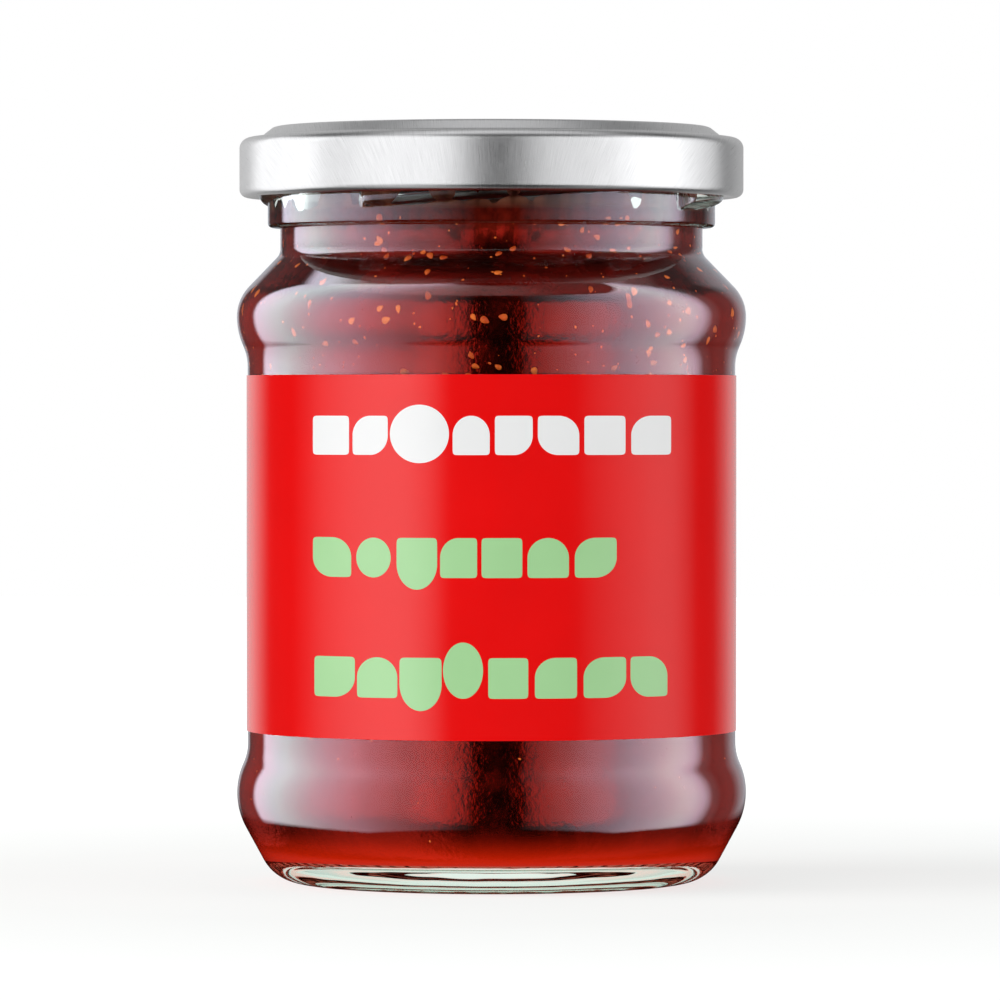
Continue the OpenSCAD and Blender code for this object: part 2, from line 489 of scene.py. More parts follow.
@dataclass(frozen=True)
class JamGel:
    """Strawberry jam: dark red jelly with paler scraps of fruit in it.

    Each span is a pair of heights in metres, where a change starts and where it is whole.
    """

    deep: tuple = (0.007, 0.0010, 0.0006, 1.0)
    flesh: tuple = (0.095, 0.0035, 0.0018, 1.0)
    # painted light: the bright orange that the jam's colour turns towards its foot
    painted_foot_light: tuple = (0.85, 0.022, 0.002, 1.0)
    glow_span: tuple = (0.010, 0.0050)
    gloss: tuple = (0.82, 0.028, 0.016, 1.0)
    dull_gloss: tuple = (0.36, 0.012, 0.008, 1.0)
    dull_span: tuple = (0.0785, 0.0840)
    rim: tuple = (0.24, 0.014, 0.006, 1.0)
    rim_span: tuple = (0.0885, 0.0912)
    syrup: tuple = (0.42, 0.15, 0.09, 1.0)
    syrup_span: tuple = (0.0932, 0.0945)
    guided: tuple = (0.62, 0.78, 0.77, 1.0)
    guided_span: tuple = (0.012, 0.009)
    patch_scale: float = 130.0
    speck_scale: float = 900.0
    roughness: float = 0.13
    ior: float = 2.0
    tooth: float = 0.2
    tooth_depth: float = 0.0004

    def material(self) -> bpy.types.Material:
        """Red patches at two scales, under a red gloss that is duller near the top.

        The jam's colour is painted bright orange at its foot, painted light standing in for light through
        the glass base; it darkens at its rim and thins to pale syrup over it.
        A ray that glass has already mirrored sees the foot as light led round inside
        the clear base: that look is an added light, and other rays don't see it.

        Returns:
            The material.
        """
        material, n = new_material("jam_gel")
        where = n.place()
        height = n.height(where)
        coarse = n.noise(where, self.patch_scale, 6.0, Roughness=0.6, Distortion=0.8)
        fine = n.noise(where, self.speck_scale, 3.0, Roughness=0.7)
        patch = n.ramp(coarse, ((0.40, 0.0), (0.66, 1.0)), ease=True)
        speck = n.ramp(fine, ((0.35, 0.35), (0.75, 1.0)))
        body = n.mix(n.math("MULTIPLY", patch, speck), self.deep, self.flesh)
        # Painted light: the colour turns bright orange towards the foot, standing in for light through the
        # glass base lighting the jam.
        lit = n.math("POWER", n.between(height, *self.glow_span), 2.0)
        top = n.math("MULTIPLY", n.between(height, *self.rim_span), speck)
        colour = n.mix(top, n.mix(lit, body, self.painted_foot_light), self.rim)
        colour = n.mix(n.between(height, *self.syrup_span), colour, self.syrup)
        bounced = n.math("GREATER_THAN", n.add("LightPath").outputs["Glossy Depth"], 0.5)
        gel = n.add(
            "BsdfPrincipled",
            {
                "Base Color": colour,
                "Roughness": self.roughness,
                "IOR": self.ior,
                "Specular IOR Level": 1.0,
                "Specular Tint": n.mix(n.between(height, *self.dull_span), self.gloss, self.dull_gloss),
                "Emission Color": self.guided,
                "Emission Strength": n.math("MULTIPLY", bounced, n.between(height, *self.guided_span)),
                "Normal": n.relief(fine, self.tooth, self.tooth_depth),
            },
        )
        n.add("OutputMaterial", {"Surface": gel.outputs[0]})
        return material


@dataclass(frozen=True)
class SeedCoat:
    """The shiny coat of strawberry seeds, straw yellow to orange."""

    pale: tuple = (0.85, 0.17, 0.022, 1.0)
    ripe: tuple = (0.50, 0.050, 0.006, 1.0)
    seed_scale: float = 260.0
    streak_scale: float = 2600.0
    streak: float = 0.25
    roughness: float = 0.4
    shine: float = 0.2

    def material(self) -> bpy.types.Material:
        """Yellow or orange from seed to seed, faintly streaked.

        Returns:
            The material.
        """
        material, n = new_material("seed_coat")
        where = n.place()
        which = n.noise(where, self.seed_scale, 1.0)
        streaked = n.math("MULTIPLY_ADD", n.noise(where, self.streak_scale, 2.0), self.streak, which)
        colour = n.mix(n.ramp(streaked, ((0.50, 0.0), (0.72, 1.0))), self.ripe, self.pale)
        coat = n.add(
            "BsdfPrincipled",
            {"Base Color": colour, "Roughness": self.roughness, "Specular IOR Level": self.shine},
        )
        n.add("OutputMaterial", {"Surface": coat.outputs[0]})
        return material


@dataclass(frozen=True)
class GlossPaper:
    """Smooth coated paper, or the ink on it."""

    name: str
    colour: tuple
    shade: tuple
    roughness: float = 0.15
    cloud_scale: float = 90.0
    tooth_scale: float = 3200.0
    tooth: float = 0.03
    tooth_depth: float = 0.0001

    def material(self) -> bpy.types.Material:
        """A colour with the faint cloud and tooth of coated paper.

        Returns:
            The material.
        """
        material, n = new_material(self.name)
        where = n.place()
        cloud = n.ramp(n.noise(where, self.cloud_scale, 4.0), ((0.35, 0.0), (0.7, 1.0)))
        paper = n.add(
            "BsdfPrincipled",
            {
                "Base Color": n.mix(cloud, self.shade, self.colour),
                "Roughness": self.roughness,
                "Specular IOR Level": 0.5,
                "Normal": n.relief(n.noise(where, self.tooth_scale, 2.0), self.tooth, self.tooth_depth),
            },
        )
        n.add("OutputMaterial", {"Surface": paper.outputs[0]})
        return material


@dataclass(frozen=True)
class BrushedTin:
    """Silver lacquered tinplate, brushed in straight strokes while still flat."""

    silver: tuple = (0.56, 0.562, 0.570, 1.0)
    stroke: tuple = (0.46, 0.462, 0.470, 1.0)
    stroke_scale: tuple = (11.0, 0.22, 1.0)
    roughness: float = 0.22
    rough_swing: float = 0.16
    tooth: float = 0.16
    tooth_depth: float = 0.00008

    def material(self) -> bpy.types.Material:
        """Strokes that run along the flat sheet's second axis, in colour, gloss and relief.

        Returns:
            The material.
        """
        material, n = new_material("brushed_tin")
        sheet = n.add("UVMap", uv_map="sheet").outputs["UV"]
        stretched = n.add("Mapping", {"Vector": sheet, "Scale": self.stroke_scale}).outputs[0]
        fine = n.noise(stretched, 1.0, 4.0, Roughness=0.65)
        tone = n.ramp(fine, ((0.36, 0.0), (0.62, 1.0)))
        tin = n.add(
            "BsdfPrincipled",
            {
                "Base Color": n.mix(tone, self.stroke, self.silver),
                "Metallic": 1.0,
                "Roughness": n.math("MULTIPLY_ADD", fine, self.rough_swing, self.roughness),
                "Normal": n.relief(fine, self.tooth, self.tooth_depth),
            },
        )
        n.add("OutputMaterial", {"Surface": tin.outputs[0]})
        return material


# ---------------------------------------------------------------- the jar's line


@dataclass
class JarLine:
    """The jar's outline and inside line, in millimetres."""

    height: float
    bulge_r: float
    bulge_proud: float = 1.5
    wall: float = 2.4
    floor_t: float = 4.2
    low_bulge_h: float = 12.5
    heel_round: float = 6.15
    push_up: float = 2.2
    foot_w: float = 2.4
    neck_r: float = 29.45
    neck_h: float = 2.85
    finish_h: float = 13.75
    finish_proud: float = 1.75
    flank: float = 29.0
    shoulder: float = 44.0
    bulge_round: float = 10.0
    shoulder_round: float = 6.0
    waist_round: float = 7.1
    neck_round: float = 2.0
    bead_round: float = 0.6
    rim_land: float = 0.8
    inner_heel: float = 5.0
    foot_step: float = 0.7
    ring_ease: float = 0.15
    ring_lip: float = 0.12
    ring_flat: float = 0.25
    bead_fillet: float = 0.3
    thread_zone: float = 6.0

    def __post_init__(self) -> None:
        """Works out the heights and radii that follow from the sizes."""
        sin_s = np.sin(np.radians(self.shoulder))
        cos_s = np.cos(np.radians(self.shoulder))
        sin_f = np.sin(np.radians(self.flank))
        cos_f = np.cos(np.radians(self.flank))
        both = self.bulge_round + self.waist_round
        self.waist_r = self.bulge_r - self.bulge_proud
        self.finish_r = self.neck_r + self.finish_proud
        self.bore_r = self.neck_r - self.wall
        self.curve_h = np.sqrt(self.bulge_proud * (2 * both - self.bulge_proud))
        self.curve_a = np.degrees(np.arctan2(self.curve_h, both - self.bulge_proud))
        self.bead_z = self.height - self.finish_h
        self.neck_z = self.bead_z - self.neck_h
        run = self.bulge_r - self.shoulder_round * (1 - cos_s) - self.neck_r - self.neck_round * (1 - cos_s)
        rise = (self.neck_round + self.shoulder_round) * sin_s + run * cos_s / sin_s
        self.high_bulge_h = self.neck_z - rise
        self.waist_z0 = self.low_bulge_h + self.curve_h
        self.waist_z1 = self.high_bulge_h - self.curve_h
        drop = self.low_bulge_h - self.bulge_round * sin_f - self.heel_round * (1 - sin_f)
        self.foot_r = (
            self.bulge_r - self.bulge_round * (1 - cos_f) - drop * sin_f / cos_f - self.heel_round * cos_f
        )
        self.foot_in_r = self.foot_r - self.foot_w

    def side(self, inset: float) -> np.ndarray:
        """The side from flank to neck: arcs and lines that meet without a corner.

        Args:
            inset: How far it is moved inwards, in millimetres.

        Returns:
            Array of radius and height.
        """
        a = self.curve_a
        bulge_x = self.bulge_r - self.bulge_round
        waist_x = self.waist_r + self.waist_round
        neck_x = self.neck_r + self.neck_round
        high = self.high_bulge_h
        return join(
            arc(bulge_x, self.low_bulge_h, self.bulge_round - inset, -self.flank, a, 18),
            arc(waist_x, self.waist_z0, self.waist_round + inset, 180 + a, 180, 8),
            line((self.waist_r - inset, self.waist_z0), (self.waist_r - inset, self.waist_z1), 12),
            arc(waist_x, self.waist_z1, self.waist_round + inset, 180, 180 - a, 8),
            arc(bulge_x, high, self.bulge_round - inset, -a, 0, 10),
            arc(self.bulge_r - self.shoulder_round, high, self.shoulder_round - inset, 0, self.shoulder, 12),
            arc(neck_x, self.neck_z, self.neck_round + inset, 180 + self.shoulder, 180, 10),
        )

    def inside(self, gap: float) -> np.ndarray:
        """The inside from the middle of the floor up to the neck.

        The floor rises to its middle by half of push_up times (1 - t^2)^2, where t is
        the share of the way out from the middle.

        Args:
            gap: How far it is moved inwards from the glass, in millimetres.

        Returns:
            Array of radius and height.
        """
        inset = self.wall + gap
        heel = self.inner_heel - gap
        z = self.floor_t + gap + heel
        cos_f = np.cos(np.radians(self.flank))
        sin_f = np.sin(np.radians(self.flank))
        flank = (self.bulge_r - self.bulge_round) * cos_f - self.low_bulge_h * sin_f
        flank = flank + self.bulge_round - inset
        x = (flank - heel + z * sin_f) / cos_f
        t = np.linspace(0, 1, 14)
        floor = np.column_stack((x * t, self.floor_t + gap + self.push_up * 0.5 * (1 - t**2) ** 2))
        return join(floor, arc(x, z, heel, -90, -self.flank, 12), self.side(inset))

    def underside(self) -> np.ndarray:
        """The hollow under the base, from its middle out to the foot ring.

        It falls from push_up to foot_step with the square of the radius.

        Returns:
            Array of radius and height.
        """
        t = np.linspace(0, 1, 14)
        r = self.foot_in_r - self.foot_step
        dome = np.column_stack((r * t, self.foot_step + (self.push_up - self.foot_step) * (1 - t**2)))
        step = np.array(
            (
                (r + self.ring_ease, self.foot_step * 0.9),
                (self.foot_in_r - self.ring_ease, self.ring_lip),
                (self.foot_in_r + self.ring_flat, 0.0),
            )
        )
        return join(dome, step)

    def outline(self) -> np.ndarray:
        """The whole closed line: underside, outside, rim, and inside down to the floor's middle.

        Returns:
            Array of radius and height.
        """
        rim = (self.finish_r - self.bore_r - self.rim_land) / 2
        rim_z = self.height - rim
        top_thread = self.height - self.thread_zone
        fillet = self.bead_fillet
        hollow = self.inside(0.0)
        return join(
            self.underside(),
            line((self.foot_in_r + self.ring_flat, 0.0), (self.foot_r, 0.0), 5),
            arc(self.foot_r, self.heel_round, self.heel_round, -90, -self.flank, 18),
            self.side(0.0),
            line((self.neck_r, self.neck_z), (self.neck_r, self.bead_z - fillet), 4),
            arc(self.neck_r + fillet, self.bead_z - fillet, fillet, 180, 90, 4),
            arc(self.finish_r - self.bead_round, self.bead_z + self.bead_round, self.bead_round, -90, 0, 7),
            line((self.finish_r, self.bead_z + self.bead_round), (self.finish_r, top_thread), 44),
            line((self.finish_r, top_thread), (self.finish_r, rim_z), 5),
            arc(self.finish_r - rim, rim_z, rim, 0, 90, 8),
            arc(self.bore_r + rim, rim_z, rim, 90, 180, 8),
            line((self.bore_r, rim_z), (self.bore_r, self.neck_z), 14),
            hollow[::-1],
        )


# ---------------------------------------------------------------- sub-assemblies


@dataclass
class GlassJar:
    """The glass, with its threads, the notches in its foot and its mould seams."""

    line: JarLine
    finish: ClearGlass = field(default_factory=ClearGlass)
    segments: int = 336
    starts: int = 4
    thread_r: float = 1.25
    thread_foot: float = 1.32
    thread_z: float = 96.22
    thread_climb: float = 2.072
    thread_start: float = -34.0
    thread_arc: float = 86.0
    notches: int = 72
    notch_depth: float = 0.16
    seam_rise: float = 0.03
    seam_w: float = 0.6
    ripple: float = 0.022

    def thread_relief(self, azimuth: np.ndarray, height: np.ndarray) -> np.ndarray:
        """How far the threads stand out of the finish.

        Across a thread the relief is nearly an ellipse, thread_r * (1 - (d / foot)^2)^0.55,
        where d is the height above the thread's middle, and the middle climbs with
        the sine of the angle from the middle of its arc. The ends round off over 3 degrees.

        Args:
            azimuth: Degrees from the front.
            height: Heights, in millimetres.

        Returns:
            Array of relief, in millimetres.
        """
        pitch = 360.0 / self.starts
        along = np.mod(azimuth - self.thread_start, pitch)
        turn = np.radians(along - self.thread_arc / 2)
        middle = self.thread_z + self.thread_climb * np.sin(turn)
        across = np.clip(1 - ((height - middle) / self.thread_foot) ** 2, 0, None) ** 0.55
        ends = np.clip(np.minimum(along + 0.2, self.thread_arc - along) / 3.0, 0, 1)
        return self.thread_r * across * np.sqrt(1 - (1 - ends) ** 2)

    def points(self) -> np.ndarray:
        """The grid of the glass, profile by azimuth, with every relief added.

        The reliefs are the threads, a gentle wave that only lowers the outside, a
        deeper one on the inside, two seams that fall off with the square of the angle,
        and the notches, which are the tops of a cosine round the foot ring.

        Returns:
            Array (profile, azimuth, 3) in millimetres.
        """
        outline = self.line.outline()
        r = outline[:, :1]
        z = outline[:, 1:]
        a = np.linspace(-180, 180, self.segments, endpoint=False)[None, :]
        rim_row = int(np.argmax(outline[:, 1]))
        outer = (np.arange(len(outline)) <= rim_row)[:, None]
        on_finish = outer & (z > self.line.bead_z + self.line.bead_round - 0.01) & (z < self.line.height - 3)
        relief = np.where(on_finish, self.thread_relief(a, z), 0.0)
        body = outer & (z > self.line.heel_round) & (z < self.line.neck_z)
        wave = smooth_noise(a, z, seed=5, waves=9, reach=5, tall=26.0) * self.ripple
        inner_wave = smooth_noise(a, z, seed=11, waves=12, reach=9, tall=14.0) * self.ripple * 5
        seam = self.seam_rise * np.exp(-((np.mod(a, 180.0) - 90.0) ** 2) / self.seam_w)
        relief = relief + np.where(body, wave - np.abs(wave).max() + seam, 0.0)
        inner = ~outer & (z > self.line.floor_t + 3) & (z < self.line.neck_z + 8)
        relief = relief + np.where(inner, inner_wave - np.abs(inner_wave).max(), 0.0)
        ring = outer & (z < 0.01) & (r > self.line.foot_in_r - 0.1)
        notch = self.notch_depth * np.clip(np.cos(np.radians(a) * self.notches) * 2.2, 0, 1)
        lift = np.where(ring, notch, 0.0)
        return turned(np.where(r > 0, r + relief, 0.0), a, z + lift)

    def build(self) -> list[bpy.types.Object]:
        """Makes the glass and puts it in the CAD jar's place.

        Returns:
            The one piece.
        """
        skin = Skin.of_grid(self.points(), wraps=True, poles=True)
        glass = skin.build("glass", self.finish.material())
        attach(glass, "root")
        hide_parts("jar")
        return [glass]


@dataclass
class Jam:
    """The jam and its seeds, up to a level in the neck."""

    line: JarLine
    level: float
    gel: JamGel = field(default_factory=JamGel)
    seed_coat: SeedCoat = field(default_factory=SeedCoat)
    segments: int = 288
    into_wall: float = 0.05
    over_floor: float = 0.05
    lift_in: float = 28.3
    lift_out: float = 29.2
    lift_top: float = 12.0
    cling: float = 0.9
    smear: float = 2.2
    swell: float = 0.35
    seeds: int = 620
    whole_seeds: int = 190
    seed_long: float = 1.2
    low_share: float = 0.06
    low_span: tuple = (8.0, 22.0)
    high_from: float = 68.0
    whole_span: tuple = (0.8, 1.15)
    crumb_span: tuple = (0.2, 0.45)

    def bowl(self) -> np.ndarray:
        """The jam's line against the glass, from the floor's middle to its level.

        It reaches into the wall, and lies just over the floor, where thin syrup
        parts it from the glass. Between lift_in and lift_out from the axis the two
        lines are blended with 3t^2 - 2t^3; above lift_top it is all in the wall.

        Returns:
            Array of radius and height.
        """
        in_wall = self.line.inside(-self.into_wall)
        over_floor = self.line.inside(self.over_floor)
        outward = (in_wall[:, :1] - self.lift_in) / (self.lift_out - self.lift_in)
        out = np.clip(np.maximum(outward, in_wall[:, 1:] - self.lift_top), 0, 1)
        bowl = over_floor + (in_wall - over_floor) * out**2 * (3 - 2 * out)
        neck = np.array(((self.line.bore_r + self.into_wall, self.level),))
        return join(bowl[bowl[:, 1] < self.level - 1.5], neck)

    def points(self) -> np.ndarray:
        """The grid of the jam: the bowl against the glass, then the uneven top.

        The top rises to the glass with the tenth power of the radius, by an amount
        that changes round the jar, and thin smears rise further with its ninetieth
        power. It dips and swells a little towards the middle.

        Returns:
            Array (profile, azimuth, 3) in millimetres.
        """
        a = np.linspace(-180, 180, self.segments, endpoint=False)[None, :]
        bowl = self.bowl()
        t = np.concatenate(((0.998, 0.995, 0.991, 0.986, 0.98), np.linspace(0.97, 0, 26)))[:, None]
        wall_r = self.line.bore_r + self.into_wall
        level = np.zeros(1)
        climb = 0.8 + 0.55 * smooth_noise(a, level, seed=3, waves=9, reach=23, tall=10.0)
        climb = self.cling * climb
        smear = 0.8 + smooth_noise(a, level, seed=17, waves=14, reach=46, tall=10.0)
        smear = self.smear * np.clip(smear, 0, 1.7)
        swell = smooth_noise(a, t * wall_r, seed=8, waves=10, reach=6, tall=18.0)
        swell = self.swell * swell * t * (1 - t**4)
        top_z = self.level + climb * t**10 + smear * t**90 + swell
        side = turned(bowl[:, :1], a, bowl[:, 1:])
        side[-1, :, 2] = (self.level + climb + smear)[0]
        return np.concatenate((side, turned(wall_r * t, a, top_z)))

    def seed_points(self) -> tuple[Skin, np.ndarray]:
        """Teardrops that lie against the glass.

        A seed is a ball whose radius shrinks towards one end: half width times
        sin(v) * (1 - 0.45 cos(v)), length times cos(v). Each is turned in the plane
        of the glass and pushed half into it. After the whole seeds come crumbs.

        Returns:
            The skin of one seed, and an array (seeds, vertices, 3).
        """
        rng = np.random.default_rng(41)
        v = np.linspace(0, np.pi, 7)[:, None]
        u = np.linspace(0, 2 * np.pi, 8, endpoint=False)[None, :]
        wide = np.sin(v) * (1 - 0.45 * np.cos(v))
        drop = np.stack(
            np.broadcast_arrays(wide * np.cos(u) * 0.34, np.cos(v) * 0.5, wide * np.sin(u) * 0.22), axis=-1
        )
        one = Skin.of_grid(drop, wraps=True, poles=True)
        wall = self.line.inside(0.0)
        wall = np.concatenate((wall[wall[:, 1] > 6.0], ((self.line.bore_r, self.level),)))
        share = rng.random(self.seeds)
        low = rng.uniform(*self.low_span, self.seeds)
        high = rng.uniform(self.high_from, self.level - 0.8, self.seeds)
        height = np.where(share < self.low_share, low, high)
        radius = np.interp(height, wall[:, 1], wall[:, 0])
        above = np.interp(height + 0.3, wall[:, 1], wall[:, 0])
        below = np.interp(height - 0.3, wall[:, 1], wall[:, 0])
        lean = np.arctan2(above - below, 0.6)
        azimuth = rng.uniform(-180, 180, self.seeds)
        turn = rng.uniform(0, 2 * np.pi, self.seeds)[:, None]
        whole = np.arange(self.seeds) < self.whole_seeds
        whole_size = rng.uniform(*self.whole_span, self.seeds)
        crumb_size = rng.uniform(*self.crumb_span, self.seeds)
        size = (self.seed_long * np.where(whole, whole_size, crumb_size))[:, None]
        local = one.verts[None] * size[..., None]
        along = local[..., 0] * np.cos(turn) - local[..., 1] * np.sin(turn)
        up = local[..., 0] * np.sin(turn) + local[..., 1] * np.cos(turn)
        out = local[..., 2]
        lean = lean[:, None]
        r = radius[:, None] + out * np.cos(lean) + up * np.sin(lean)
        z = height[:, None] + up * np.cos(lean) - out * np.sin(lean)
        a = azimuth[:, None] + np.degrees(along / radius[:, None])
        return one, turned(r, a, z)

    def build(self) -> list[bpy.types.Object]:
        """Makes the jam and its seeds and puts them in the CAD jam's place.

        Returns:
            The jam and the seeds.
        """
        skin = Skin.of_grid(self.points(), wraps=True, poles=True)
        jam = skin.build("jam_body", self.gel.material())
        one, many = self.seed_points()
        seeds = one.repeated(many).build("jam_seeds", self.seed_coat.material())
        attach(jam, "root")
        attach(seeds, "root")
        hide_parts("jam")
        return [jam, seeds]


class Tile(Enum):
    """Outlines of the printed tiles: the power of the superellipse in each quarter,
    from the upper right, anticlockwise. A power of 2 is round and 14 is square."""

    SQUARE = (14.0, 14.0, 14.0, 14.0)
    DISC = (2.0, 2.0, 2.0, 2.0)
    ARCH = (2.0, 2.0, 14.0, 14.0)
    BOWL = (14.0, 14.0, 2.0, 2.0)
    LEAF = (14.0, 2.0, 14.0, 2.0)
    PETAL = (2.0, 14.0, 2.0, 14.0)
    FAN = (14.0, 14.0, 14.0, 2.0)
    SAIL = (14.0, 2.0, 14.0, 14.0)
    LOZENGE = (1.0, 1.0, 1.0, 1.0)


@dataclass(frozen=True)
class PrintedTile:
    """A tile's left and right edge, its outline, and how far it leaves its row."""

    left: float
    right: float
    outline: Tile
    below: float = 0.0
    above: float = 0.0


@dataclass(frozen=True)
class TileRow:
    """A row of tiles between a lower and an upper height."""

    low: float
    high: float
    tiles: tuple[PrintedTile, ...]


UPPER_ROW = TileRow(
    59.8,
    65.1,
    (
        PrintedTile(-24.3, -19.3, Tile.SQUARE),
        PrintedTile(-18.8, -14.0, Tile.LEAF),
        PrintedTile(-13.7, -5.7, Tile.DISC, 1.1, 1.5),
        PrintedTile(-5.2, -0.2, Tile.ARCH),
        PrintedTile(0.5, 5.6, Tile.FAN),
        PrintedTile(6.3, 11.9, Tile.PETAL),
        PrintedTile(12.6, 18.2, Tile.SQUARE),
        PrintedTile(19.0, 24.5, Tile.SAIL),
    ),
)
MIDDLE_ROW = TileRow(
    43.2,
    48.6,
    (
        PrintedTile(-24.3, -19.0, Tile.PETAL),
        PrintedTile(-18.3, -13.6, Tile.DISC),
        PrintedTile(-12.8, -7.3, Tile.BOWL, 1.6),
        PrintedTile(-6.9, -1.9, Tile.SAIL),
        PrintedTile(-1.3, 4.2, Tile.SQUARE),
        PrintedTile(4.9, 10.5, Tile.ARCH),
        PrintedTile(11.3, 17.0, Tile.LEAF),
    ),
)
LOWER_ROW = TileRow(
    26.9,
    32.4,
    (
        PrintedTile(-24.1, -18.5, Tile.FAN),
        PrintedTile(-18.2, -12.7, Tile.ARCH),
        PrintedTile(-12.4, -6.7, Tile.BOWL, 1.7),
        PrintedTile(-6.5, -1.1, Tile.DISC, 0.0, 2.1),
        PrintedTile(-0.4, 5.0, Tile.SQUARE),
        PrintedTile(5.9, 11.6, Tile.SAIL),
        PrintedTile(12.5, 18.3, Tile.LEAF),
        PrintedTile(18.9, 24.0, Tile.PETAL),
    ),
)


@dataclass
class Label:
    """The paper round the waist and the tiles printed on it."""

    inner_r: float
    low: float
    high: float
    paper: float = 0.1
    edge: float = 0.02
    seam_w: float = 1.5
    ink: float = 0.012
    sharp: float = 40.0
    white_rows: tuple[TileRow, ...] = (UPPER_ROW,)
    green_rows: tuple[TileRow, ...] = (MIDDLE_ROW, LOWER_ROW)
    red: GlossPaper = GlossPaper("red_paper", (0.93, 0.0010, 0.0012, 1.0), (0.89, 0.0008, 0.0010, 1.0))
    white: GlossPaper = GlossPaper("white_ink", (0.97, 0.975, 0.975, 1.0), (0.95, 0.955, 0.955, 1.0))
    green: GlossPaper = GlossPaper("green_ink", (0.43, 0.76, 0.37, 1.0), (0.41, 0.73, 0.35, 1.0))

    def sheet(self) -> Skin:
        """The paper: a thin rectangle carried round the waist, shut at its two ends.

        Returns:
            A closed skin, with the seam at the back.
        """
        outer = self.inner_r + self.paper
        seam = np.degrees(self.seam_w / self.inner_r) / 2
        a = np.linspace(-180 + seam, 180 - seam, 361)[:, None]
        in_edge = outer - self.edge
        rise = np.linspace(self.low + self.edge, self.high - self.edge, 22)
        inner = np.full(22, self.inner_r)
        r = np.concatenate((np.full(22, outer), (in_edge,), inner, (in_edge,)))
        z = np.concatenate((rise, (self.high,) * 2, rise[-2:0:-1], (self.low,) * 2))
        grid = turned(r[None, :], a, z[None, :])
        body = Skin.of_grid(grid, wraps=True, poles=False)
        half = len(r) // 2
        pairs = np.arange(half - 1)
        cap = np.stack((pairs, pairs + 1, len(r) - 2 - pairs, len(r) - 1 - pairs), axis=-1)
        last = cap[:, ::-1] + (len(a) - 1) * len(r)
        quads = np.concatenate((body.quads, cap, last))
        return Skin(body.verts, quads, body.tris).flipped()

    def tiles(self, rows: tuple[TileRow, ...]) -> Skin:
        """Printed tiles as thin closed patches on the paper.

        A tile's edge at angle w is the superellipse (|cos w|^p + |sin w|^p)^(-1/p),
        with the power p of the quarter that w lies in, scaled to the tile's size.

        Args:
            rows: Rows of tiles of one colour.

        Returns:
            One skin that holds every tile.
        """
        cells = [(row.low - t.below, row.high + t.above, t.left, t.right) for row in rows for t in row.tiles]
        z0, z1, x0, x1 = np.array(cells).T[:, :, None, None]
        power = np.array([t.outline.value for row in rows for t in row.tiles])
        w = (np.arange(96) + 0.5) / 96 * 2 * np.pi
        p = power[:, (w // (np.pi / 2)).astype(int)]
        edge = (np.abs(np.cos(w)) ** p + np.abs(np.sin(w)) ** p) ** (-1 / p)
        ring = np.linspace(0, 1, 9)
        ring = np.concatenate((ring, ring[::-1]))
        proud = np.where(np.arange(18) < 9, self.ink, -self.paper / 3)
        outer = self.inner_r + self.paper
        across = (x0 + x1) / 2 + (x1 - x0) / 2 * ring[None, :, None] * (edge * np.cos(w))[:, None, :]
        height = (z0 + z1) / 2 + (z1 - z0) / 2 * ring[None, :, None] * (edge * np.sin(w))[:, None, :]
        azimuth = np.degrees(np.arcsin(across / outer))
        return Skin.of_copies(turned(outer + proud[None, :, None], azimuth, height)).flipped()

    def build(self) -> list[bpy.types.Object]:
        """Makes the paper and the print and puts them in the CAD label's place.

        Returns:
            The paper, the white print and the green print.
        """
        paper = self.sheet().build("label_paper", self.red.material(), self.sharp)
        white = self.tiles(self.white_rows).build("print_white", self.white.material(), self.sharp)
        green = self.tiles(self.green_rows).build("print_green", self.green.material(), self.sharp)
        for piece, slot in ((paper, "label"), (white, "print_white"), (green, "print_green")):
            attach(piece, "root")
        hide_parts("label")
        return [paper, white, green]


